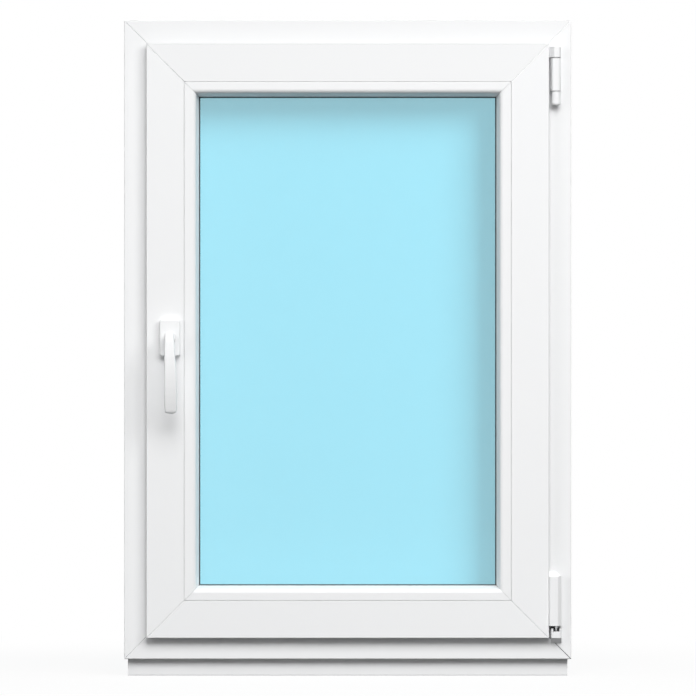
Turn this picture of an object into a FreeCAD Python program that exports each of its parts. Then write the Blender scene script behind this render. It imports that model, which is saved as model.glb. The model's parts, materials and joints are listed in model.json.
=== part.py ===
import FreeCAD, Part
import math
import os

# White plastic tilt and turn window, closed, seen from the room side along +Y.
# X runs to the right, Y from the room to the outside, Z up, all in millimetres.
# The origin is the middle of the underside of the base profile.

# Overall sizes
FRAME_WIDTH = 700.0
FRAME_HEIGHT = 1000.0
FRAME_DEPTH = 70.0

# Outer frame section
FRAME_SIGHT = 35.0
FRAME_CORNER = 1.5
STOP_HEIGHT = 22.0
STOP_THICKNESS = 11.0
STOP_SLOPE = 3.0
REBATE_FALL = 2.0
ANCHOR_MOUTH = 30.0
ANCHOR_UNDERCUT = 2.0
ANCHOR_LIP = 2.5
ANCHOR_DEPTH = 5.0

# Sash section
SASH_DEPTH = 70.0
SASH_FACE = 59.0
SASH_OVERLAP = 8.0
SASH_CORNER = 1.6
SASH_DROP = 2.0
FLANGE_THICKNESS = 11.0
FRAME_SEAL_GAP = 4.0
REBATE_GAP = 12.0
HARDWARE_GROOVE_WIDTH = 16.0
HARDWARE_GROOVE_DEPTH = 8.0
HARDWARE_GROOVE_OFFSET = 9.0
GLASS_LEG_THICKNESS = 8.0
GLASS_LEG_HEIGHT = 21.0
GLASS_LEG_SLOPE = 3.0

# Glazing beads
BEAD_WIDTH = 22.8
BEAD_FLAT = 17.5
BEAD_ROUND = 7.5
BEAD_EDGE = 0.6
BEAD_NOSE = 2.5
BEAD_SOLE = 26.0
BEAD_TONGUE = 2.4
BEAD_TONGUE_REACH = 4.5
BEAD_TONGUE_SETBACK = 7.0
BEAD_CLEARANCE = 0.35

# Insulating glass and its gaskets
PANE_THICKNESS = 4.0
PANE_CAVITY = 16.0
PANE_EDGE_GAP = 5.0
SPACER_SETBACK = 5.0
SPACER_HEIGHT = 7.0
GASKET_THICKNESS = 3.0
GASKET_LIP = 2.0
GASKET_ROOT = 0.8
GASKET_BED = 9.0
SEAL_WIDTH = 5.0
SEAL_BULGE = 0.6

# Corner seams
SEAM_WIDTH = 1.2
SEAM_DEPTH = 1.3
BEAD_SEAM = 0.3

# Base profile under the frame
BASE_HEIGHT = 26.0
BASE_DEPTH = 46.0
BASE_INSET = 5.5
BASE_WALL = 2.5
BASE_WEB_SPACING = 15.0
BASE_CORNER = 1.0
HOOK_THICKNESS = 3.0
HOOK_CLEARANCE = 0.3

# Handle
HANDLE_HEIGHT = 503.0
HANDLE_BACKSET = 17.0
ROSETTE_WIDTH = 32.0
ROSETTE_HEIGHT = 57.5
ROSETTE_THICKNESS = 11.0
ROSETTE_CORNER = 4.5
ROSETTE_EDGE = 2.0
COLLAR_RADIUS = 9.5
COLLAR_BEVEL = 1.0
COLLAR_HEIGHT = 2.0
NECK_RADIUS = 6.8
NECK_SEAT = 9.0
NECK_CLEARANCE = 0.08
LEVER_REACH = 118.0
LEVER_HEAD = 9.0
LEVER_STANDOFF = 37.0
LEVER_NECK_DROP = 5.0
LEVER_NECK_WIDTH = 15.0
LEVER_NECK_THICKNESS = 12.0
LEVER_BELLY_DROP = 92.0
LEVER_BELLY_WIDTH = 19.8
LEVER_TIP_WIDTH = 17.8
LEVER_TIP_THICKNESS = 8.0
LEVER_BOW = 8.0
LEVER_SWAY = 2.0
LEVER_END = 4.5
LEVER_ROUND = 3.2

# Upper hinge, where the scissor stay turns on the frame
HINGE_AXIS_INSET = 23.8
HINGE_RADIUS = 7.0
HINGE_STANDOFF = 1.0
HINGE_GAP = 1.2
HINGE_FLANK = 3.5
HINGE_SHOULDER = 2.0
HINGE_ROUND = 6.3
HINGE_PIN_RADIUS = 3.0
HINGE_PIN_CLEARANCE = 0.1
STAY_DROP = 41.5
STAY_KNUCKLE_HEIGHT = 16.5
STAY_KNUCKLE_SHOULDER = 8.0
STAY_BARREL_HEIGHT = 51.1
STAY_BARREL_SHOULDER = 3.5
STAY_BARREL_SETBACK = 2.0
STAY_HEAD_HEIGHT = 21.6
STAY_HEAD_DOME = 3.0

# Lower hinge, where the sash stands and tilts in its corner
CORNER_COVER_WIDTH = 19.0
CORNER_COVER_HEIGHT = 85.5
CORNER_COVER_DEPTH = 17.0
CORNER_COVER_RISE = 52.5
CORNER_COVER_SLOPE = 8.2
CORNER_COVER_SCARF = 9.0
CORNER_COVER_BEVEL = 5.5
CORNER_COVER_SOFT = 2.2
PIVOT_RADIUS = 2.2
PIVOT_CLEARANCE = 0.1
PIVOT_HOLD = 6.0
BEARING_WIDTH = 16.6
BEARING_HEIGHT = 14.9
BEARING_DEPTH = 15.5
BEARING_GAP = 4.0
BEARING_CORNER = 4.0
BEARING_FOOT = 9.0
BEARING_CUP_RADIUS = 5.0
BEARING_CUP_DEPTH = 4.6

# Drain hoods on the outside of the bottom rail
DRAIN_SPACING = 420.0
DRAIN_RISE = 12.0
DRAIN_WIDTH = 42.0
DRAIN_HEIGHT = 14.0
DRAIN_DEPTH = 6.0
DRAIN_WALL = 1.4
DRAIN_SLOT_WIDTH = 28.0
DRAIN_SLOT_HEIGHT = 5.0
DRAIN_SLOT_DEPTH = 12.0

# Facets in a softened edge, and bands along the lever
EDGE_STEPS = 3
LEVER_BANDS = 10

# Planes of depth
FRAME_ROOM_Y = -FRAME_DEPTH / 2
FRAME_OUT_Y = FRAME_DEPTH / 2
STOP_Y = FRAME_OUT_Y - STOP_THICKNESS
FLANGE_BACK_Y = FRAME_ROOM_Y - FRAME_SEAL_GAP
SASH_ROOM_Y = FLANGE_BACK_Y - FLANGE_THICKNESS
SASH_OUT_Y = SASH_ROOM_Y + SASH_DEPTH
GLASS_LEG_Y = SASH_OUT_Y - GLASS_LEG_THICKNESS
GLASS_OUT_Y = GLASS_LEG_Y - GASKET_THICKNESS
OUTER_PANE_Y = GLASS_OUT_Y - PANE_THICKNESS
INNER_PANE_Y = OUTER_PANE_Y - PANE_CAVITY
GLASS_ROOM_Y = INNER_PANE_Y - PANE_THICKNESS
BEAD_BACK_Y = GLASS_ROOM_Y - GASKET_THICKNESS
ROSETTE_Y = SASH_ROOM_Y - ROSETTE_THICKNESS
NECK_SEAT_Y = ROSETTE_Y - COLLAR_HEIGHT + NECK_SEAT
GRIP_Y = SASH_ROOM_Y - LEVER_STANDOFF - LEVER_NECK_THICKNESS / 2

# Distances inward from the frame's outer edge
REBATE_U = FRAME_SIGHT + SASH_OVERLAP
STOP_U = REBATE_U + STOP_HEIGHT
FLANGE_U = FRAME_SIGHT
SASH_EDGE_U = REBATE_U + REBATE_GAP
BEAD_U = FLANGE_U + SASH_FACE
GLASS_LEG_U = BEAD_U + GLASS_LEG_HEIGHT
BEAD_NOSE_U = BEAD_U + BEAD_WIDTH
PANE_U = BEAD_U + PANE_EDGE_GAP
SPACER_U = PANE_U + SPACER_SETBACK
HANDLE_U = SASH_EDGE_U + HANDLE_BACKSET

FRAME_BOTTOM = BASE_HEIGHT
FRAME_TOP = FRAME_BOTTOM + FRAME_HEIGHT
FRAME_MIDDLE = FRAME_BOTTOM + FRAME_HEIGHT / 2
HALF_WIDTH = FRAME_WIDTH / 2
BASE_LENGTH = FRAME_WIDTH - 2 * BASE_INSET
HINGE_X = HALF_WIDTH - HINGE_AXIS_INSET
HINGE_Y = FRAME_ROOM_Y - HINGE_STANDOFF - HINGE_RADIUS
FLANGE_X = HALF_WIDTH - FLANGE_U
HANDLE_X = HANDLE_U - HALF_WIDTH
HANDLE_Z = FRAME_BOTTOM + HANDLE_HEIGHT
DRAIN_Z = FRAME_BOTTOM + DRAIN_RISE
DRAIN_XS = (-DRAIN_SPACING / 2, DRAIN_SPACING / 2)

Vector = FreeCAD.Vector
UP = Vector(0, 0, 1)
TO_ROOM = Vector(0, -1, 0)

# Each side of a rectangle: its turn about Y, and where the middle of its outer edge lies
SIDES = {
    "bottom": (0, FRAME_WIDTH, Vector(0, 0, FRAME_BOTTOM)),
    "top": (180, FRAME_WIDTH, Vector(0, 0, FRAME_TOP)),
    "left": (90, FRAME_HEIGHT, Vector(-HALF_WIDTH, 0, FRAME_MIDDLE)),
    "right": (-90, FRAME_HEIGHT, Vector(HALF_WIDTH, 0, FRAME_MIDDLE)),
}


def rounded_wire(corners, place):
    """A closed wire through corners (a, b, radius), each rounded. place turns (a, b) into a point."""
    starts = []
    ends = []
    middles = []
    for i, (a, b, radius) in enumerate(corners):
        corner = Vector(a, b, 0)
        before = Vector(*corners[i - 1][:2], 0) - corner
        after = Vector(*corners[(i + 1) % len(corners)][:2], 0) - corner
        before.normalize()
        after.normalize()
        half_angle = before.getAngle(after) / 2
        setback = radius / math.tan(half_angle)
        bisector = before + after
        starts.append(corner + before * setback)
        ends.append(corner + after * setback)
        if radius > 0:
            bisector.normalize()
            middles.append(corner + bisector * (radius / math.sin(half_angle) - radius))
        else:
            middles.append(corner)
    edges = []
    for i, (a, b, radius) in enumerate(corners):
        start, middle, end = (place(p.x, p.y) for p in (starts[i], middles[i], ends[i]))
        if radius > 0:
            edges.append(Part.Arc(start, middle, end).toShape())
        following = starts[(i + 1) % len(corners)]
        edges.append(Part.LineSegment(end, place(following.x, following.y)).toShape())
    return Part.Wire(edges)


def rounded_face(corners, place):
    return Part.Face(rounded_wire(corners, place))


def in_section(u, y):
    """A point of a bar's section: u inward from the frame's outer edge, y in depth."""
    return Vector(0, y, u)


def at_height(z):
    """Places plan points (x, y) at one height."""
    return lambda x, y: Vector(x, y, z)


def on_face(y):
    """Places elevation points (x, z) on one plane of depth."""
    return lambda x, z: Vector(x, y, z)


def along_side(x):
    """Places side view points (y, z) on one upright plane across the window."""
    return lambda y, z: Vector(x, y, z)


def mitred_bar(corners, length, seam=0.0):
    """A bar of this section along X, cut at 45 degrees at both ends. seam is the gap left at each mitre."""
    bar = rounded_face(corners, in_section).extrude(Vector(length, 0, 0))
    bar.translate(Vector(-length / 2, 0, 0))
    box = bar.BoundBox
    end = length / 2 - seam * math.sqrt(0.5)
    low, high = min(0.0, box.ZMin), box.ZMax
    outline = [(-end + low, low), (end - low, low), (end - high, high), (-end + high, high)]
    points = [Vector(x, box.YMin, z) for x, z in outline]
    wedge = Part.Face(Part.makePolygon(points + points[:1])).extrude(Vector(0, box.YLength, 0))
    return bar.common(wedge)


def seam_blade(length, face_y, inward, reach):
    """The V of a welded corner's seam along the mitre at a bar's right end, on the face at face_y."""
    along = Vector(-1, 0, 1)
    along.normalize()
    across = Vector(1, 0, 1)
    across.normalize()
    corner = Vector(length / 2, face_y, 0) - along * SEAM_WIDTH
    deep = Vector(0, SEAM_DEPTH * inward, 0)
    points = [corner - deep - across * SEAM_WIDTH, corner - deep + across * SEAM_WIDTH, corner + deep]
    face = Part.Face(Part.makePolygon(points + points[:1]))
    return face.extrude(along * (reach * math.sqrt(2) + 2 * SEAM_WIDTH))


def welded_bar(corners, length, room_y, out_y):
    """A mitred bar whose corner seams show as shallow grooves on its room and outer faces."""
    bar = mitred_bar(corners, length)
    reach = max(u for u, y, radius in corners)
    sideways = Vector(1, 0, 0)
    for face_y, inward in ((room_y, 1), (out_y, -1)):
        blade = seam_blade(length, face_y, inward, reach)
        bar = bar.cut(blade).cut(blade.mirror(Vector(0, 0, 0), sideways))
    return bar


def set_on_side(bar, side):
    turn, length, place = SIDES[side]
    bar.rotate(Vector(0, 0, 0), Vector(0, 1, 0), turn)
    bar.translate(place)
    return bar


def ring(corners):
    """A closed rectangular loop of one section, such as a gasket."""
    bars = [set_on_side(mitred_bar(corners, SIDES[side][1]), side) for side in SIDES]
    return bars[0].fuse(bars[1:]).removeSplitter()


def box_between(low, high):
    size = high - low
    return Part.makeBox(size.x, size.y, size.z, low)


def rectangle(middle_a, middle_b, width, height, radius):
    """Corners of a rounded rectangle."""
    half_width = width / 2
    half_height = height / 2
    return [
        (middle_a - half_width, middle_b - half_height, radius),
        (middle_a + half_width, middle_b - half_height, radius),
        (middle_a + half_width, middle_b + half_height, radius),
        (middle_a - half_width, middle_b + half_height, radius),
    ]


def edge_steps(radius):
    """Points (inset, rise) of a softened edge, from the side of a piece to its end."""
    angles = [math.pi / 2 * i / EDGE_STEPS for i in range(EDGE_STEPS + 1)]
    return [(radius * (1 - math.cos(angle)), radius * math.sin(angle)) for angle in angles]


def skinned(wires):
    """A solid with straight bands from each closed wire to the next."""
    return Part.makeLoft(wires, True, True)


def turned(profile, base):
    """A solid of revolution about the vertical through base, from points (radius, height)."""
    points = [base + Vector(radius, 0, height) for radius, height in profile]
    return Part.Face(Part.makePolygon(points + points[:1])).revolve(base, UP, 360)


# Sections of the four-sided pieces

def frame_section():
    half_mouth = ANCHOR_MOUTH / 2
    half_groove = half_mouth + ANCHOR_UNDERCUT
    return [
        (0, FRAME_ROOM_Y, FRAME_CORNER),
        (REBATE_U, FRAME_ROOM_Y, FRAME_CORNER),
        (REBATE_U, 0, 0),
        (REBATE_U - REBATE_FALL, STOP_Y, 0),
        (STOP_U, STOP_Y, FRAME_CORNER / 2),
        (STOP_U - STOP_SLOPE, FRAME_OUT_Y, FRAME_CORNER),
        (0, FRAME_OUT_Y, FRAME_CORNER),
        (0, half_mouth, 0),
        (ANCHOR_LIP, half_mouth, 0),
        (ANCHOR_LIP, half_groove, 0),
        (ANCHOR_DEPTH, half_groove, 0),
        (ANCHOR_DEPTH, -half_groove, 0),
        (ANCHOR_LIP, -half_groove, 0),
        (ANCHOR_LIP, -half_mouth, 0),
        (0, -half_mouth, 0),
    ]


def bead_tongue_span():
    start = SASH_ROOM_Y + BEAD_TONGUE_SETBACK
    return start, start + BEAD_TONGUE


def sash_section():
    groove_start = FLANGE_BACK_Y + HARDWARE_GROOVE_OFFSET
    groove_end = groove_start + HARDWARE_GROOVE_WIDTH
    groove_u = SASH_EDGE_U + HARDWARE_GROOVE_DEPTH
    tongue_start, tongue_end = bead_tongue_span()
    slot_u = BEAD_U - BEAD_TONGUE_REACH - BEAD_CLEARANCE
    return [
        (FLANGE_U, SASH_ROOM_Y, SASH_CORNER),
        (BEAD_U, SASH_ROOM_Y, BEAD_EDGE),
        (BEAD_U, tongue_start - BEAD_CLEARANCE, 0),
        (slot_u, tongue_start - BEAD_CLEARANCE, 0),
        (slot_u, tongue_end + BEAD_CLEARANCE, 0),
        (BEAD_U, tongue_end + BEAD_CLEARANCE, 0),
        (BEAD_U, GLASS_LEG_Y, 0),
        (GLASS_LEG_U, GLASS_LEG_Y, FRAME_CORNER / 2),
        (GLASS_LEG_U - GLASS_LEG_SLOPE, SASH_OUT_Y, FRAME_CORNER),
        (SASH_EDGE_U, SASH_OUT_Y, FRAME_CORNER),
        (SASH_EDGE_U, groove_end, 0),
        (groove_u, groove_end, 0),
        (groove_u, groove_start, 0),
        (SASH_EDGE_U, groove_start, 0),
        (SASH_EDGE_U, FLANGE_BACK_Y, 0),
        (FLANGE_U, FLANGE_BACK_Y, FRAME_CORNER / 2),
    ]


def bead_section():
    """The bead's flat front rounds over into the steep cheek that runs down to the glass."""
    seat_u = BEAD_U + BEAD_CLEARANCE
    tongue_start, tongue_end = bead_tongue_span()
    sole_y = SASH_ROOM_Y + BEAD_SOLE
    return [
        (seat_u, SASH_ROOM_Y, BEAD_EDGE),
        (BEAD_U + BEAD_FLAT, SASH_ROOM_Y, BEAD_ROUND),
        (BEAD_NOSE_U, BEAD_BACK_Y - BEAD_NOSE, 0),
        (BEAD_NOSE_U, BEAD_BACK_Y, 0),
        (PANE_U, BEAD_BACK_Y, 0),
        (PANE_U, sole_y, 0),
        (seat_u, sole_y, 0),
        (seat_u, tongue_end, 0),
        (BEAD_U - BEAD_TONGUE_REACH, tongue_end, 0),
        (BEAD_U - BEAD_TONGUE_REACH, tongue_start, 0),
        (seat_u, tongue_start, 0),
    ]


def lip_section(edge_u, seat_y, face_y):
    """A glazing gasket from its seat to the glass, with a lip that runs out past edge_u."""
    return [
        (edge_u - GASKET_BED, seat_y, 0),
        (edge_u + GASKET_ROOT, seat_y, 0),
        (edge_u + GASKET_LIP, face_y, 0),
        (edge_u - GASKET_BED, face_y, 0),
    ]


def seal_section(start_u, low_y, high_y):
    """A rebate seal squeezed between two faces, bulging a little at its middle."""
    middle_y = (low_y + high_y) / 2
    return [
        (start_u, low_y, 0),
        (start_u + SEAL_WIDTH, low_y, 0),
        (start_u + SEAL_WIDTH + SEAL_BULGE, middle_y, SEAL_BULGE),
        (start_u + SEAL_WIDTH, high_y, 0),
        (start_u, high_y, 0),
        (start_u - SEAL_BULGE, middle_y, SEAL_BULGE),
    ]


# Frame, sash, beads and glass

FRAME_NAMES = {
    "top": "frame_head",
    "bottom": "frame_sill",
    "left": "frame_jamb_left",
    "right": "frame_jamb_right",
}
SASH_NAMES = {
    "top": "sash_top_rail",
    "bottom": "sash_bottom_rail",
    "left": "sash_stile_left",
    "right": "sash_stile_right",
}


def frame_bars():
    bars = {
        name: set_on_side(welded_bar(frame_section(), SIDES[side][1], FRAME_ROOM_Y, FRAME_OUT_Y), side)
        for side, name in FRAME_NAMES.items()
    }
    bars["frame_sill"] = bars["frame_sill"].cut([drain_slot(x) for x in DRAIN_XS])
    return bars


def sash_bars():
    return {
        name: set_on_side(welded_bar(sash_section(), SIDES[side][1], SASH_ROOM_Y, SASH_OUT_Y), side)
        for side, name in SASH_NAMES.items()
    }


def glazing_beads():
    return {
        "bead_" + side: set_on_side(mitred_bar(bead_section(), SIDES[side][1], BEAD_SEAM), side)
        for side in SIDES
    }


def pane(start_y):
    low = Vector(PANE_U - HALF_WIDTH, start_y, FRAME_BOTTOM + PANE_U)
    high = Vector(HALF_WIDTH - PANE_U, start_y + PANE_THICKNESS, FRAME_TOP - PANE_U)
    return box_between(low, high)


def spacer_section():
    return [
        (SPACER_U, INNER_PANE_Y, 0),
        (SPACER_U + SPACER_HEIGHT, INNER_PANE_Y, 0),
        (SPACER_U + SPACER_HEIGHT, OUTER_PANE_Y, 0),
        (SPACER_U, OUTER_PANE_Y, 0),
    ]


def glazing():
    return {
        "inner_pane": pane(GLASS_ROOM_Y),
        "outer_pane": pane(OUTER_PANE_Y),
        "glass_spacer": ring(spacer_section()),
        "inner_glazing_gasket": ring(lip_section(BEAD_NOSE_U, BEAD_BACK_Y, GLASS_ROOM_Y)),
        "outer_glazing_gasket": ring(lip_section(GLASS_LEG_U, GLASS_LEG_Y, GLASS_OUT_Y)),
    }


def frame_seal():
    """The seal on the frame's stop, which the closed sash presses on."""
    start_u = SASH_EDGE_U + (STOP_U - SASH_EDGE_U - SEAL_WIDTH) / 2
    return ring(seal_section(start_u, SASH_OUT_Y, STOP_Y))


def sash_seal():
    """The seal behind the sash's flange, which presses on the frame's room face."""
    start_u = FLANGE_U + (SASH_OVERLAP - SEAL_WIDTH) / 2
    return ring(seal_section(start_u, FLANGE_BACK_Y, FRAME_ROOM_Y))


def hung_sash():
    """The sash with its beads, glass and seal, hung a little below the middle of the frame."""
    pieces = {**sash_bars(), **glazing_beads(), **glazing(), "sash_seal": sash_seal()}
    for piece in pieces.values():
        piece.translate(Vector(0, 0, -SASH_DROP))
    return pieces


# Base profile, open at both ends so that its chambers show

def base_hook(direction):
    """One clip of the base profile, hooked behind the lip of the frame's anchor groove."""
    outer = ANCHOR_MOUTH / 2 - HOOK_CLEARANCE
    barb = outer + ANCHOR_UNDERCUT - HOOK_CLEARANCE
    barb_z = BASE_HEIGHT + ANCHOR_LIP + HOOK_CLEARANCE
    top_z = BASE_HEIGHT + ANCHOR_DEPTH - HOOK_CLEARANCE
    corners = [
        (outer - HOOK_THICKNESS, BASE_HEIGHT - BASE_WALL),
        (outer, BASE_HEIGHT - BASE_WALL),
        (outer, barb_z),
        (barb, barb_z),
        (outer, top_z),
        (outer - HOOK_THICKNESS, top_z),
    ]
    return rounded_face([(direction * y, z, 0) for y, z in corners], along_side(-BASE_LENGTH / 2))


def base_profile():
    half = BASE_DEPTH / 2
    outline = [
        (-half, 0, BASE_CORNER),
        (half, 0, BASE_CORNER),
        (half, BASE_HEIGHT, 0),
        (-half, BASE_HEIGHT, 0),
    ]
    section = rounded_face(outline, along_side(-BASE_LENGTH / 2))
    half_web = BASE_WALL / 2
    inside = half - BASE_WALL
    for low, high in (
        (-inside, -BASE_WEB_SPACING / 2 - half_web),
        (-BASE_WEB_SPACING / 2 + half_web, BASE_WEB_SPACING / 2 - half_web),
        (BASE_WEB_SPACING / 2 + half_web, inside),
    ):
        chamber = [
            (low, BASE_WALL, 0),
            (high, BASE_WALL, 0),
            (high, BASE_HEIGHT - BASE_WALL, 0),
            (low, BASE_HEIGHT - BASE_WALL, 0),
        ]
        section = section.cut(rounded_face(chamber, along_side(-BASE_LENGTH / 2)))
    section = section.fuse([base_hook(1), base_hook(-1)]).removeSplitter()
    return section.Faces[0].extrude(Vector(BASE_LENGTH, 0, 0))


def drain_slot(x):
    """The slot that lets water out of the frame's rebate, behind a hood."""
    low = Vector(x - DRAIN_SLOT_WIDTH / 2, FRAME_OUT_Y - DRAIN_SLOT_DEPTH, DRAIN_Z)
    return box_between(low, low + Vector(DRAIN_SLOT_WIDTH, DRAIN_SLOT_DEPTH, DRAIN_SLOT_HEIGHT))


def drain_hood(x):
    """A rain hood over a drain slot: sloped on top, open at the bottom."""
    def shape(width, depth, height, low_z):
        corners = [
            (FRAME_OUT_Y, low_z, 0),
            (FRAME_OUT_Y + depth, low_z, 0),
            (FRAME_OUT_Y + depth, low_z + height - depth, 0),
            (FRAME_OUT_Y, low_z + height, 0),
        ]
        return rounded_face(corners, along_side(x - width / 2)).extrude(Vector(width, 0, 0))

    outside = shape(DRAIN_WIDTH, DRAIN_DEPTH, DRAIN_HEIGHT, DRAIN_Z)
    inside = shape(
        DRAIN_WIDTH - 2 * DRAIN_WALL, DRAIN_DEPTH - DRAIN_WALL, DRAIN_HEIGHT - 2 * DRAIN_WALL, DRAIN_Z
    )
    return outside.cut(inside)


# Handle

def handle_rosette():
    """The escutcheon on the lock stile, with a raised collar that guides the lever's neck."""
    levels = [(0, SASH_ROOM_Y)]
    levels += [(inset, ROSETTE_Y + ROSETTE_EDGE - rise) for inset, rise in edge_steps(ROSETTE_EDGE)]
    wires = []
    for inset, y in levels:
        width = ROSETTE_WIDTH - 2 * inset
        height = ROSETTE_HEIGHT - 2 * inset
        outline = rectangle(HANDLE_X, HANDLE_Z, width, height, ROSETTE_CORNER - inset)
        wires.append(rounded_wire(outline, on_face(y)))
    plate = skinned(wires)
    centre = Vector(HANDLE_X, ROSETTE_Y, HANDLE_Z)
    collar = Part.makeCone(COLLAR_RADIUS, COLLAR_RADIUS - COLLAR_BEVEL, COLLAR_HEIGHT, centre, TO_ROOM)
    seat = Vector(HANDLE_X, NECK_SEAT_Y, HANDLE_Z)
    bore = Part.makeCylinder(NECK_RADIUS + NECK_CLEARANCE, NECK_SEAT, seat, TO_ROOM)
    return plate.fuse(collar).cut(bore)


def clamped(share):
    """Keeps a share between 0 and 1."""
    return min(max(share, 0.0), 1.0)


def lever_wire(drop, inset):
    """A level slice of the grip, drop below the handle's axis and drawn in by inset."""
    along = (drop + LEVER_HEAD) / (LEVER_REACH + LEVER_HEAD)
    growth = clamped((drop - LEVER_NECK_DROP) / (LEVER_BELLY_DROP - LEVER_NECK_DROP))
    swell = math.sin(growth * math.pi / 2)
    taper = clamped((drop - LEVER_BELLY_DROP) / (LEVER_REACH - LEVER_BELLY_DROP)) ** 2
    width = LEVER_NECK_WIDTH + (LEVER_BELLY_WIDTH - LEVER_NECK_WIDTH) * swell
    width -= (LEVER_BELLY_WIDTH - LEVER_TIP_WIDTH) * taper
    thickness = LEVER_NECK_THICKNESS - (LEVER_NECK_THICKNESS - LEVER_TIP_THICKNESS) * along
    x = HANDLE_X + LEVER_SWAY * swell
    y = GRIP_Y - LEVER_BOW * 4 * along * (1 - along)
    radius = LEVER_ROUND * (thickness - inset) / LEVER_NECK_THICKNESS
    outline = rectangle(x, y, width - 2 * inset, thickness - inset, radius)
    return rounded_wire(outline, at_height(HANDLE_Z - drop))


def handle_lever():
    """The bowed grip hanging from a round neck, which turns in the escutcheon's collar."""
    top = LEVER_END - LEVER_HEAD
    bottom = LEVER_REACH - LEVER_END
    ends = edge_steps(LEVER_END)
    slices = [(top - rise, inset) for inset, rise in reversed(ends)]
    slices += [(top + (bottom - top) * i / LEVER_BANDS, 0.0) for i in range(1, LEVER_BANDS)]
    slices += [(bottom + rise, inset) for inset, rise in ends]
    grip = skinned([lever_wire(drop, inset) for drop, inset in slices])
    seat = Vector(HANDLE_X, NECK_SEAT_Y, HANDLE_Z)
    neck = Part.makeCylinder(NECK_RADIUS, NECK_SEAT_Y - GRIP_Y, seat, TO_ROOM)
    return grip.fuse(neck)


# Hinges

def pin_bore(low_z, height):
    return Part.makeCylinder(
        HINGE_PIN_RADIUS + HINGE_PIN_CLEARANCE, height, Vector(HINGE_X, HINGE_Y, low_z), UP
    )


def hinge_leaf(left, shoulder, low_z, height):
    """A rounded hinge body against the frame, whose left flank rises from left to a shoulder."""
    back = FRAME_ROOM_Y - HINGE_STANDOFF
    front = HINGE_Y - HINGE_RADIUS
    right = HINGE_X + HINGE_RADIUS
    plan = [
        (left, back, 0),
        (left, back - HINGE_FLANK, 0),
        (left + shoulder, front, HINGE_SHOULDER),
        (right, front, HINGE_ROUND),
        (right, back, 0),
    ]
    return rounded_face(plan, at_height(low_z)).extrude(UP * height)


def stay_hinge():
    """The upper hinge: a knuckle on the sash edge, a barrel on the frame and a headed pin."""
    knuckle_low = FRAME_TOP - STAY_DROP - STAY_KNUCKLE_HEIGHT
    barrel_low = knuckle_low - HINGE_GAP - STAY_BARREL_HEIGHT
    head_top = barrel_low - HINGE_GAP
    head_low = head_top - STAY_HEAD_HEIGHT

    knuckle = hinge_leaf(FLANGE_X, STAY_KNUCKLE_SHOULDER, knuckle_low, STAY_KNUCKLE_HEIGHT)
    knuckle = knuckle.cut(pin_bore(knuckle_low, STAY_KNUCKLE_HEIGHT - HINGE_PIN_RADIUS))
    barrel_left = FLANGE_X + STAY_BARREL_SETBACK
    barrel = hinge_leaf(barrel_left, STAY_BARREL_SHOULDER, barrel_low, STAY_BARREL_HEIGHT)
    barrel = barrel.cut(pin_bore(barrel_low, STAY_BARREL_HEIGHT))

    shank_top = knuckle_low + STAY_KNUCKLE_HEIGHT - 2 * HINGE_PIN_RADIUS - head_low
    profile = [(0, 0)]
    profile += [
        (HINGE_RADIUS - inset, STAY_HEAD_DOME - rise) for inset, rise in reversed(edge_steps(STAY_HEAD_DOME))
    ]
    profile += [
        (HINGE_RADIUS, STAY_HEAD_HEIGHT),
        (HINGE_PIN_RADIUS, STAY_HEAD_HEIGHT),
        (HINGE_PIN_RADIUS, shank_top),
        (0, shank_top),
    ]
    pin = turned(profile, Vector(HINGE_X, HINGE_Y, head_low))
    return {"stay_knuckle": knuckle, "stay_barrel": barrel, "stay_hinge_pin": pin}


def corner_cover(low):
    """The cover on the sash edge, with a bevelled flank, a cut corner and a scarfed top."""
    top = low + CORNER_COVER_HEIGHT
    right = FLANGE_X + CORNER_COVER_WIDTH
    back = FRAME_ROOM_Y - HINGE_STANDOFF
    front = back - CORNER_COVER_DEPTH
    plan = [
        (FLANGE_X, back, 0),
        (FLANGE_X, front, CORNER_COVER_SOFT),
        (right - CORNER_COVER_BEVEL, front, CORNER_COVER_SOFT),
        (right, front + CORNER_COVER_BEVEL, CORNER_COVER_SOFT),
        (right, back, 0),
    ]
    cover = rounded_face(plan, at_height(low)).extrude(UP * CORNER_COVER_HEIGHT)
    corner = [(right - CORNER_COVER_SLOPE, top, 0), (right, top - CORNER_COVER_SLOPE, 0), (right, top, 0)]
    scarf = [(front, top - CORNER_COVER_SCARF, 0), (back, top, 0), (front, top, 0)]
    return cover.cut([
        rounded_face(corner, on_face(front)).extrude(Vector(0, CORNER_COVER_DEPTH, 0)),
        rounded_face(scarf, along_side(FLANGE_X)).extrude(Vector(CORNER_COVER_WIDTH, 0, 0)),
    ])


def corner_bearing(top):
    """The bearing on the frame: a block with a tapered foot below and a cup open to the room on top."""
    low = top - BEARING_HEIGHT
    half = BEARING_WIDTH / 2
    front = FRAME_ROOM_Y - BEARING_DEPTH
    plan = [
        (HINGE_X - half, FRAME_ROOM_Y, 0),
        (HINGE_X - half, front, BEARING_CORNER),
        (HINGE_X + half, front, BEARING_CORNER),
        (HINGE_X + half, FRAME_ROOM_Y, 0),
    ]
    block = rounded_face(plan, at_height(low)).extrude(UP * BEARING_HEIGHT)
    foot = [
        (FRAME_ROOM_Y, low, 0),
        (front + BEARING_CORNER, low, 0),
        (FRAME_ROOM_Y, low - BEARING_FOOT, 0),
    ]
    gusset = rounded_face(foot, along_side(HINGE_X - half)).extrude(Vector(BEARING_WIDTH, 0, 0))
    floor = top - BEARING_CUP_DEPTH
    cup = Part.makeCylinder(BEARING_CUP_RADIUS, BEARING_CUP_DEPTH, Vector(HINGE_X, HINGE_Y, floor), UP)
    mouth = box_between(
        Vector(HINGE_X - BEARING_CUP_RADIUS, front, floor), Vector(HINGE_X + BEARING_CUP_RADIUS, HINGE_Y, top)
    )
    return block.fuse(gusset).cut([cup, mouth])


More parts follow.
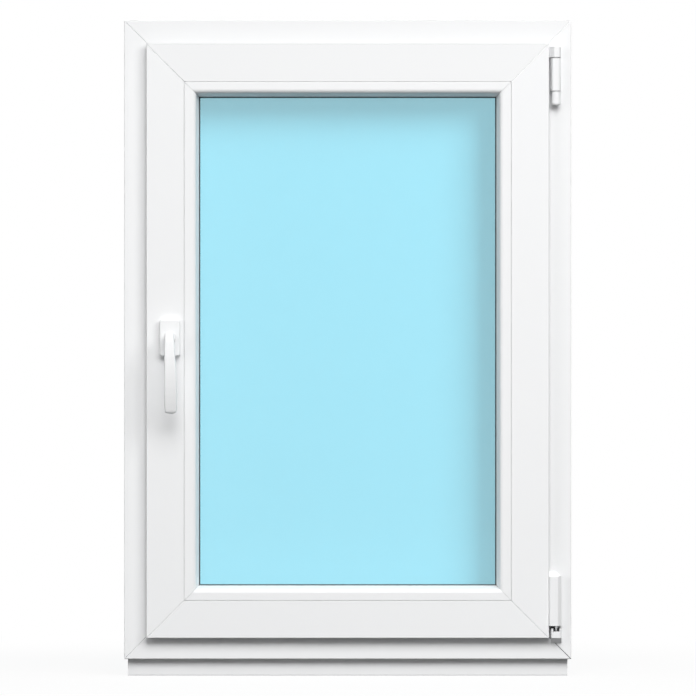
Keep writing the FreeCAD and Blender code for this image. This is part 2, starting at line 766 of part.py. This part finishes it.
def corner_hinge():
    """The lower hinge: a cover on the sash edge, a bearing on the frame and the pivot between them."""
    cover_low = FRAME_BOTTOM + CORNER_COVER_RISE
    bearing_top = cover_low - BEARING_GAP
    pivot_low = bearing_top - BEARING_CUP_DEPTH - PIVOT_HOLD
    pivot_length = cover_low + PIVOT_HOLD - pivot_low
    foot = Vector(HINGE_X, HINGE_Y, pivot_low)
    hole = Part.makeCylinder(PIVOT_RADIUS + PIVOT_CLEARANCE, pivot_length + PIVOT_CLEARANCE, foot, UP)
    return {
        "corner_hinge_cover": corner_cover(cover_low).cut(hole),
        "corner_bearing": corner_bearing(bearing_top).cut(hole),
        "corner_pivot": Part.makeCylinder(PIVOT_RADIUS, pivot_length, foot, UP),
    }


def build():
    pieces = {}
    pieces.update(frame_bars())
    pieces["frame_seal"] = frame_seal()
    pieces.update(hung_sash())
    pieces["base_profile"] = base_profile()
    pieces["drain_hood_left"], pieces["drain_hood_right"] = (drain_hood(x) for x in DRAIN_XS)
    pieces["handle_rosette"] = handle_rosette()
    pieces["handle_lever"] = handle_lever()
    pieces.update(stay_hinge())
    pieces.update(corner_hinge())
    return pieces


os.makedirs("parts", exist_ok=True)
for name, shape in build().items():
    shape.exportStep(os.path.join("parts", name + ".step"))
    print(f"{name}: {len(shape.Solids)} solid, valid {shape.isValid()}, {shape.Volume / 1000:.1f} cm3")
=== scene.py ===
import bpy
import json
import math
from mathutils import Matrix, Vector


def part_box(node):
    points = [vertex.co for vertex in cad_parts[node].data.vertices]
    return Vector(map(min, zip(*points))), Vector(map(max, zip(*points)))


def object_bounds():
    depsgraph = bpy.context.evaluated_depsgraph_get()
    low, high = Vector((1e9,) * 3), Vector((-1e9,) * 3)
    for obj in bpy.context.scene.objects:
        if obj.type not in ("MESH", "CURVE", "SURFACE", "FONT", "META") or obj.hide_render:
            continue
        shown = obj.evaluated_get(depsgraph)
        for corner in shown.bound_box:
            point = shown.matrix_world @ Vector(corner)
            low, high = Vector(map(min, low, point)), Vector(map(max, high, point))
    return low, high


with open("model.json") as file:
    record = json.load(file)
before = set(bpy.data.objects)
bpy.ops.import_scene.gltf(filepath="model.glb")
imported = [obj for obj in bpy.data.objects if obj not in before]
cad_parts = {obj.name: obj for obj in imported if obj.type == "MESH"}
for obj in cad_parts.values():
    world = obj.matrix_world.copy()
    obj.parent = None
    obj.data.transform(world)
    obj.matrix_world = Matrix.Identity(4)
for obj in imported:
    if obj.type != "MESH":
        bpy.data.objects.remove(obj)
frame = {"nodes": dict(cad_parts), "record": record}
CAD_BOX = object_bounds()
NODES = frame["nodes"]

# The photograph: its size, and the window's frame in it, in pixels
PHOTO_PIXELS = 696
PHOTO_FRAME_LEFT = 124.2
PHOTO_FRAME_RIGHT = 571.2
PHOTO_FRAME_TOP = 20.5
PHOTO_FRAME_BOTTOM = 659.1

# Camera: distance from the frame's face in metres, and sensor in millimetres
CAMERA_DISTANCE = 12.0
SENSOR_WIDTH = 36.0

# Lights: degrees to the right of the front and degrees up, metres, and watts
ROOM_LIGHTS = {
    "key": dict(azimuth=5.0, elevation=43.0, distance=18.0, width=10.0, height=10.0, power=2500.0),
    "side": dict(azimuth=40.0, elevation=30.0, distance=5.0, width=1.9, height=2.5, power=108.0),
    "fill": dict(azimuth=-55.0, elevation=14.0, distance=12.0, width=6.0, height=6.0, power=385.0),
}
TOP_LIGHT = dict(azimuth=13.0, elevation=18.0, distance=14.0, width=8.0, height=6.0, power=2010.0)
PANE_LIGHT = dict(azimuth=46.0, elevation=36.0, distance=8.0, width=4.0, height=4.0, power=1050.0)
OUTSIDE_LIGHT = dict(azimuth=170.0, elevation=32.0, distance=14.0, width=12.0, height=4.0, power=2080.0)
# Strength of the surround as a light
AMBIENT = 0.05
# The top bars have a lower light of their own, so that the sash's upper edge does not flood the frame above
TOP_BARS = ("frame_head", "sash_top_rail")
# Inside pieces that the outside light would reach through the glass
BEADS = ("bead_top", "bead_bottom", "bead_left", "bead_right")

# Floor: size in metres, and the share of its own shading that shows, which fades between two distances
FLOOR_SIZE = 30.0
FLOOR_SHADE = 0.1
FLOOR_SHADE_NEAR = 0.4
FLOOR_SHADE_FAR = 1.6
FLOOR_ROUGHNESS = 0.9

# Colours, as linear values
WHITE = (1.0, 1.0, 1.0, 1.0)
PLASTIC = (0.86, 0.865, 0.87, 1.0)
BASE_PLASTIC = (0.82, 0.825, 0.83, 1.0)
COATING = (0.85, 0.855, 0.86, 1.0)
RUBBER = (0.06, 0.06, 0.062, 1.0)
ALUMINIUM = (0.68, 0.69, 0.7, 1.0)
STEEL = (0.5, 0.51, 0.52, 1.0)
# Near black, painted on the hinges' level faces in their gaps as painted shade
PAINTED_GAP_SHADE = (0.02, 0.02, 0.022, 1.0)
# Grey, painted into the groove of the frame's lower right joint as painted shade
PAINTED_JOINT_SHADE = (0.3, 0.3, 0.3, 1.0)
GLASS_BODY = (0.43, 0.88, 1.0, 1.0)
GLASS_CLEAR = (0.7, 0.95, 1.0, 1.0)
INNER_CLEAR = (0.97, 0.99, 1.0, 1.0)
FLOOR_COLOUR = (0.9, 0.9, 0.9, 1.0)
FLOOR_BOUNCE = (0.14, 0.14, 0.14, 1.0)

# Noises: a larger scale makes a finer pattern
PLASTIC_DRIFT = dict(scale=9.0, detail=3.0)
PLASTIC_SKIN = dict(scale=900.0, detail=2.0)
COATING_DRIFT = dict(scale=30.0, detail=2.0)
COATING_SKIN = dict(scale=1400.0, detail=2.0)
RUBBER_GRAIN = dict(scale=600.0, detail=3.0)
METAL_GRAIN = dict(scale=250.0, detail=4.0)
GLASS_DRIFT = dict(scale=1.5, detail=1.0)
# The range in which most of a noise's values lie
NOISE_LOW = 0.2
NOISE_HIGH = 0.8

# How much darker a colour drifts, as a share of it
PLASTIC_TINT = 0.006
COATING_TINT = 0.005
RUBBER_TINT = 0.3
METAL_TINT = 0.15
GLASS_TINT = 0.01

# Roughness, and how far it drifts either way
FRAME_ROUGHNESS = 0.3
BASE_ROUGHNESS = 0.45
# Roughness of the painted shade in the hinges' gaps and in the frame's lower right joint
PAINTED_SHADE_ROUGHNESS = 0.6
COATING_ROUGHNESS = 0.3
SMOOTH_SPREAD = 0.02
RUBBER_ROUGHNESS = 0.65
RUBBER_SPREAD = 0.1
ALUMINIUM_ROUGHNESS = 0.35
STEEL_ROUGHNESS = 0.3
METAL_SPREAD = 0.08
MIRROR_ROUGHNESS = 0.02
GLASS_ROUGHNESS = 0.08

# Height of a skin's bumps in metres
PLASTIC_BUMP = 0.00002
COATING_BUMP = 0.00003
RUBBER_BUMP = 0.00005
METAL_BUMP = 0.00002

# How strongly plastic mirrors, where 0.5 is usual
PLASTIC_SPECULAR = 0.2
# Glass: what it mirrors straight on, how steeply that grows with the angle, and the tinted body's share
MIRROR_STRAIGHT_ON = 0.04
MIRROR_GROWTH = 5.0
GLASS_BODY_SHARE = 0.3

# Hinge pieces whose level faces in a gap get painted shade: -1 for the lower end, 1 for the upper end, 0
# for both
PAINTED_SHADE_ENDS = {
    "stay_knuckle": -1,
    "stay_barrel": 0,
    "stay_hinge_pin": 1,
    "corner_hinge_cover": -1,
    "corner_bearing": 1,
}
# The bars of the frame's lower right joint, whose groove gets painted shade so that it looks darker than
# the others
PAINTED_SHADE_JOINT_BARS = ("frame_sill", "frame_jamb_right")
# A level face has more than this much upright in its normal
LEVEL_NORMAL = 0.9
# A mitred face has more than this much sideways and this much upright in its normal
MITRED_NORMAL = 0.3


def new_material(name):
    """A new material, its node tree and its principled shader."""
    material = bpy.data.materials.new(name)
    material.use_nodes = True
    shader = material.node_tree.nodes["Principled BSDF"]
    return material, material.node_tree, shader


def add_noise(tree, scale, detail):
    """Noise in the object's own coordinates."""
    coordinates = tree.nodes.new("ShaderNodeTexCoord")
    noise = tree.nodes.new("ShaderNodeTexNoise")
    noise.inputs["Scale"].default_value = scale
    noise.inputs["Detail"].default_value = detail
    tree.links.new(coordinates.outputs["Object"], noise.inputs["Vector"])
    return noise.outputs["Fac"]


def add_tint(tree, shader, noise, colour, depth):
    """Lets a colour drift darker by depth, following a noise."""
    ramp = tree.nodes.new("ShaderNodeValToRGB")
    dark, light = ramp.color_ramp.elements
    dark.position = NOISE_LOW
    dark.color = [c * (1 - depth) for c in colour[:3]] + [1.0]
    light.position = NOISE_HIGH
    light.color = colour
    tree.links.new(noise, ramp.inputs["Fac"])
    tree.links.new(ramp.outputs["Color"], shader.inputs["Base Color"])


def add_roughness(tree, shader, noise, roughness, spread):
    """Lets the roughness drift by spread either way, following a noise."""
    drift = tree.nodes.new("ShaderNodeMapRange")
    drift.inputs["From Min"].default_value = NOISE_LOW
    drift.inputs["From Max"].default_value = NOISE_HIGH
    drift.inputs["To Min"].default_value = roughness - spread
    drift.inputs["To Max"].default_value = roughness + spread
    tree.links.new(noise, drift.inputs["Value"])
    tree.links.new(drift.outputs["Result"], shader.inputs["Roughness"])


def add_bump(tree, shader, noise, height):
    """Raises the skin by up to height, following a noise."""
    bump = tree.nodes.new("ShaderNodeBump")
    bump.inputs["Distance"].default_value = height
    tree.links.new(noise, bump.inputs["Height"])
    tree.links.new(bump.outputs["Normal"], shader.inputs["Normal"])


def plastic_material(name, colour, roughness):
    """Extruded white plastic: smooth, with a faint drift of gloss and a barely uneven skin."""
    material, tree, shader = new_material(name)
    drift = add_noise(tree, **PLASTIC_DRIFT)
    add_tint(tree, shader, drift, colour, PLASTIC_TINT)
    add_roughness(tree, shader, drift, roughness, SMOOTH_SPREAD)
    add_bump(tree, shader, add_noise(tree, **PLASTIC_SKIN), PLASTIC_BUMP)
    shader.inputs["Specular IOR Level"].default_value = PLASTIC_SPECULAR
    return material


def coated_material():
    """Powder coated metal with its fine orange peel."""
    material, tree, shader = new_material("white_coating")
    drift = add_noise(tree, **COATING_DRIFT)
    add_tint(tree, shader, drift, COATING, COATING_TINT)
    add_roughness(tree, shader, drift, COATING_ROUGHNESS, SMOOTH_SPREAD)
    add_bump(tree, shader, add_noise(tree, **COATING_SKIN), COATING_BUMP)
    return material


def rubber_material():
    """Matt black rubber with a fine grain."""
    material, tree, shader = new_material("gasket_rubber")
    grain = add_noise(tree, **RUBBER_GRAIN)
    add_tint(tree, shader, grain, RUBBER, RUBBER_TINT)
    add_roughness(tree, shader, grain, RUBBER_ROUGHNESS, RUBBER_SPREAD)
    add_bump(tree, shader, grain, RUBBER_BUMP)
    return material


def metal_material(name, colour, roughness):
    """Bare metal with a satin grain."""
    material, tree, shader = new_material(name)
    grain = add_noise(tree, **METAL_GRAIN)
    add_tint(tree, shader, grain, colour, METAL_TINT)
    add_roughness(tree, shader, grain, roughness, METAL_SPREAD)
    add_bump(tree, shader, grain, METAL_BUMP)
    shader.inputs["Metallic"].default_value = 1.0
    return material


def add_mirror_share(tree):
    """How much clean glass mirrors: a little straight on, all of it at a grazing angle."""
    facing = tree.nodes.new("ShaderNodeLayerWeight")
    steep = tree.nodes.new("ShaderNodeMath")
    steep.operation = "POWER"
    steep.inputs[1].default_value = MIRROR_GROWTH
    tree.links.new(facing.outputs["Facing"], steep.inputs[0])
    share = tree.nodes.new("ShaderNodeMapRange")
    share.inputs["To Min"].default_value = MIRROR_STRAIGHT_ON
    tree.links.new(steep.outputs["Value"], share.inputs["Value"])
    return share.outputs["Result"]


def clear_glass_material():
    """The room side pane: clear, with mirror reflections that grow at a grazing angle."""
    material, tree, shader = new_material("clear_glass")
    see_through = tree.nodes.new("ShaderNodeBsdfTransparent")
    see_through.inputs["Color"].default_value = INNER_CLEAR
    mirror = tree.nodes.new("ShaderNodeBsdfGlossy")
    mirror.inputs["Roughness"].default_value = MIRROR_ROUGHNESS
    mix = tree.nodes.new("ShaderNodeMixShader")
    tree.links.new(add_mirror_share(tree), mix.inputs["Fac"])
    tree.links.new(see_through.outputs["BSDF"], mix.inputs[1])
    tree.links.new(mirror.outputs["BSDF"], mix.inputs[2])
    tree.links.new(mix.outputs["Shader"], tree.nodes["Material Output"].inputs["Surface"])
    tree.nodes.remove(shader)
    return material


def tinted_glass_material():
    """The outer pane: tinted light blue, with a body that catches the sash's shadow."""
    material, tree, shader = new_material("blue_glass")
    add_tint(tree, shader, add_noise(tree, **GLASS_DRIFT), GLASS_BODY, GLASS_TINT)
    shader.inputs["Roughness"].default_value = GLASS_ROUGHNESS
    see_through = tree.nodes.new("ShaderNodeBsdfTransparent")
    see_through.inputs["Color"].default_value = GLASS_CLEAR
    mix = tree.nodes.new("ShaderNodeMixShader")
    mix.inputs["Fac"].default_value = GLASS_BODY_SHARE
    tree.links.new(see_through.outputs["BSDF"], mix.inputs[1])
    tree.links.new(shader.outputs["BSDF"], mix.inputs[2])
    tree.links.new(mix.outputs["Shader"], tree.nodes["Material Output"].inputs["Surface"])
    return material


def paint_shade_in_hinge_gaps(material):
    """Paints shade onto the level faces in the hinges' gaps, as a near black material."""
    for name, end in PAINTED_SHADE_ENDS.items():
        mesh = NODES[name].data
        mesh.materials.append(material)
        for polygon in mesh.polygons:
            upright = polygon.normal.z
            if abs(upright) > LEVEL_NORMAL and upright * end >= 0:
                polygon.material_index = 1


def paint_shade_in_joint(material):
    """Paints shade onto the mitred faces on the room side of the frame's lower right corner, as a grey
    material.
    """
    middle = (CAD_BOX[0] + CAD_BOX[1]) / 2
    for name in PAINTED_SHADE_JOINT_BARS:
        mesh = NODES[name].data
        mesh.materials.append(material)
        for polygon in mesh.polygons:
            mitred = min(abs(polygon.normal.x), abs(polygon.normal.z)) > MITRED_NORMAL
            place = NODES[name].matrix_world @ polygon.center
            if mitred and place.x > middle.x and place.y < middle.y and place.z < middle.z:
                polygon.material_index = 1


def dress_nodes():
    """Gives every node the finish of its slot in the record, then the exceptions."""
    by_slot = {
        "frame_plastic": plastic_material("white_plastic", PLASTIC, FRAME_ROUGHNESS),
        "base_plastic": plastic_material("base_plastic", BASE_PLASTIC, BASE_ROUGHNESS),
        "pane": clear_glass_material(),
        "gasket": rubber_material(),
        "spacer": metal_material("spacer_aluminium", ALUMINIUM, ALUMINIUM_ROUGHNESS),
        "handle_white": coated_material(),
        "hinge_white": coated_material(),
        "pin_steel": metal_material("pin_steel", STEEL, STEEL_ROUGHNESS),
    }
    for part in frame["record"]["subparts"]:
        mesh = NODES[part["node"]].data
        mesh.materials.clear()
        mesh.materials.append(by_slot[part["material_slot"]])
    NODES["outer_pane"].data.materials[0] = tinted_glass_material()
    # Painted shade: near black on the hinges' level faces in their gaps
    paint_shade_in_hinge_gaps(plastic_material("hinge_gap_painted_shade", PAINTED_GAP_SHADE, PAINTED_SHADE_ROUGHNESS))
    # Painted shade: grey in the groove of the frame's lower right joint
    paint_shade_in_joint(plastic_material("joint_painted_shade", PAINTED_JOINT_SHADE, PAINTED_SHADE_ROUGHNESS))


def around(centre, azimuth, elevation, distance):
    """A point seen from centre at this azimuth to the right of the front, and this elevation."""
    turn = math.radians(azimuth)
    rise = math.radians(elevation)
    level = math.cos(rise)
    direction = Vector((math.sin(turn) * level, -math.cos(turn) * level, math.sin(rise)))
    return centre + distance * direction


def area_light(name, azimuth, elevation, distance, width, height, power):
    """A soft panel aimed at the middle of the window."""
    centre = (CAD_BOX[0] + CAD_BOX[1]) / 2
    lamp = bpy.data.lights.new(name, "AREA")
    lamp.shape = "RECTANGLE"
    lamp.size = width
    lamp.size_y = height
    lamp.energy = power
    light = bpy.data.objects.new(name, lamp)
    light.location = around(centre, azimuth, elevation, distance)
    light.rotation_euler = (centre - light.location).to_track_quat("-Z", "Y").to_euler()
    bpy.context.scene.collection.objects.link(light)
    return light


def limit_light(light, pieces, state):
    """Lets a light fall on these pieces alone, or on everything else."""
    receivers = bpy.data.collections.new(light.name + "_receivers")
    for piece in pieces:
        receivers.objects.link(piece)
    for member in receivers.collection_objects:
        member.light_linking.link_state = state
    light.light_linking.receiver_collection = receivers


def make_lights(floor):
    """Soft panels for the room side, its top bars, the tinted pane and the outside."""
    pane = [NODES["outer_pane"]]
    top_bars = [NODES[name] for name in TOP_BARS]
    beads = [NODES[name] for name in BEADS]
    for name, setting in ROOM_LIGHTS.items():
        limit_light(area_light(name, **setting), pane + top_bars, "EXCLUDE")
    limit_light(area_light("top_light", **TOP_LIGHT), top_bars, "INCLUDE")
    limit_light(area_light("pane_light", **PANE_LIGHT), pane, "INCLUDE")
    limit_light(area_light("outside_light", **OUTSIDE_LIGHT), beads + [floor], "EXCLUDE")


def add_white_view(tree, shade, seen, target):
    """Joins two shaders: shade for lighting, and seen for camera, mirror and glass rays."""
    path = tree.nodes.new("ShaderNodeLightPath")
    either = path.outputs["Is Camera Ray"]
    for ray in ("Is Glossy Ray", "Is Transmission Ray"):
        larger = tree.nodes.new("ShaderNodeMath")
        larger.operation = "MAXIMUM"
        tree.links.new(either, larger.inputs[0])
        tree.links.new(path.outputs[ray], larger.inputs[1])
        either = larger.outputs["Value"]
    mix = tree.nodes.new("ShaderNodeMixShader")
    tree.links.new(either, mix.inputs["Fac"])
    tree.links.new(shade, mix.inputs[1])
    tree.links.new(seen, mix.inputs[2])
    tree.links.new(mix.outputs["Shader"], target)


def make_world():
    """A white surround to the eye that gives only a little light."""
    world = bpy.data.worlds.new("studio")
    bpy.context.scene.world = world
    world.use_nodes = True
    tree = world.node_tree
    ambient = tree.nodes["Background"]
    ambient.inputs["Color"].default_value = WHITE
    ambient.inputs["Strength"].default_value = AMBIENT
    white = tree.nodes.new("ShaderNodeBackground")
    white.inputs["Color"].default_value = WHITE
    white.inputs["Strength"].default_value = 1.0
    add_white_view(
        tree,
        ambient.outputs["Background"],
        white.outputs["Background"],
        tree.nodes["World Output"].inputs["Surface"],
    )


def add_floor_share(tree):
    """The share of the floor's own shading that shows: largest at the window, none far away."""
    coordinates = tree.nodes.new("ShaderNodeTexCoord")
    distance = tree.nodes.new("ShaderNodeVectorMath")
    distance.operation = "LENGTH"
    tree.links.new(coordinates.outputs["Object"], distance.inputs[0])
    fade = tree.nodes.new("ShaderNodeMapRange")
    fade.interpolation_type = "SMOOTHSTEP"
    fade.inputs["From Min"].default_value = FLOOR_SHADE_NEAR
    fade.inputs["From Max"].default_value = FLOOR_SHADE_FAR
    fade.inputs["To Min"].default_value = FLOOR_SHADE
    fade.inputs["To Max"].default_value = 0.0
    tree.links.new(distance.outputs["Value"], fade.inputs["Value"])
    return fade.outputs["Result"]


def floor_material():
    """A white floor: it looks white, and a share of its own shading keeps the object's shadow."""
    material, tree, shader = new_material("pale_floor")
    shader.inputs["Base Color"].default_value = FLOOR_COLOUR
    shader.inputs["Roughness"].default_value = FLOOR_ROUGHNESS
    glow = tree.nodes.new("ShaderNodeEmission")
    glow.inputs["Strength"].default_value = 1.0
    soft = tree.nodes.new("ShaderNodeMixShader")
    tree.links.new(add_floor_share(tree), soft.inputs["Fac"])
    tree.links.new(glow.outputs["Emission"], soft.inputs[1])
    tree.links.new(shader.outputs["BSDF"], soft.inputs[2])
    bounce = tree.nodes.new("ShaderNodeBsdfDiffuse")
    bounce.inputs["Color"].default_value = FLOOR_BOUNCE
    add_white_view(
        tree,
        bounce.outputs["BSDF"],
        soft.outputs["Shader"],
        tree.nodes["Material Output"].inputs["Surface"],
    )
    return material


def make_floor():
    """The floor that the window stands on."""
    bpy.ops.mesh.primitive_plane_add(size=FLOOR_SIZE, location=(0, 0, 0))
    floor = bpy.context.object
    floor.name = "floor"
    floor.data.materials.append(floor_material())
    return floor


def make_camera():
    """A long lens square to the window, placed so that the frame falls where the photograph has it."""
    jamb_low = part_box("frame_jamb_left")[0]
    jamb_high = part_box("frame_jamb_right")[1]
    metres_per_pixel = (jamb_high.z - jamb_low.z) / (PHOTO_FRAME_BOTTOM - PHOTO_FRAME_TOP)
    middle_x = (PHOTO_FRAME_LEFT + PHOTO_FRAME_RIGHT) / 2
    middle_y = (PHOTO_FRAME_TOP + PHOTO_FRAME_BOTTOM) / 2
    right = (PHOTO_PIXELS / 2 - middle_x) * metres_per_pixel
    down = (PHOTO_PIXELS / 2 - middle_y) * metres_per_pixel
    middle = (jamb_low + jamb_high) / 2
    camera_data = bpy.data.cameras.new("camera")
    camera_data.sensor_width = SENSOR_WIDTH
    camera_data.lens = SENSOR_WIDTH * CAMERA_DISTANCE / (PHOTO_PIXELS * metres_per_pixel)
    camera = bpy.data.objects.new("camera", camera_data)
    camera.location = (middle.x + right, jamb_low.y - CAMERA_DISTANCE, middle.z - down)
    camera.rotation_euler = (math.pi / 2, 0, 0)
    bpy.context.scene.collection.objects.link(camera)
    bpy.context.scene.camera = camera


def make_studio():
    """Surround, floor, lights and camera."""
    make_world()
    make_lights(make_floor())
    make_camera()
    bpy.context.scene.view_settings.view_transform = "Standard"


dress_nodes()
make_studio()
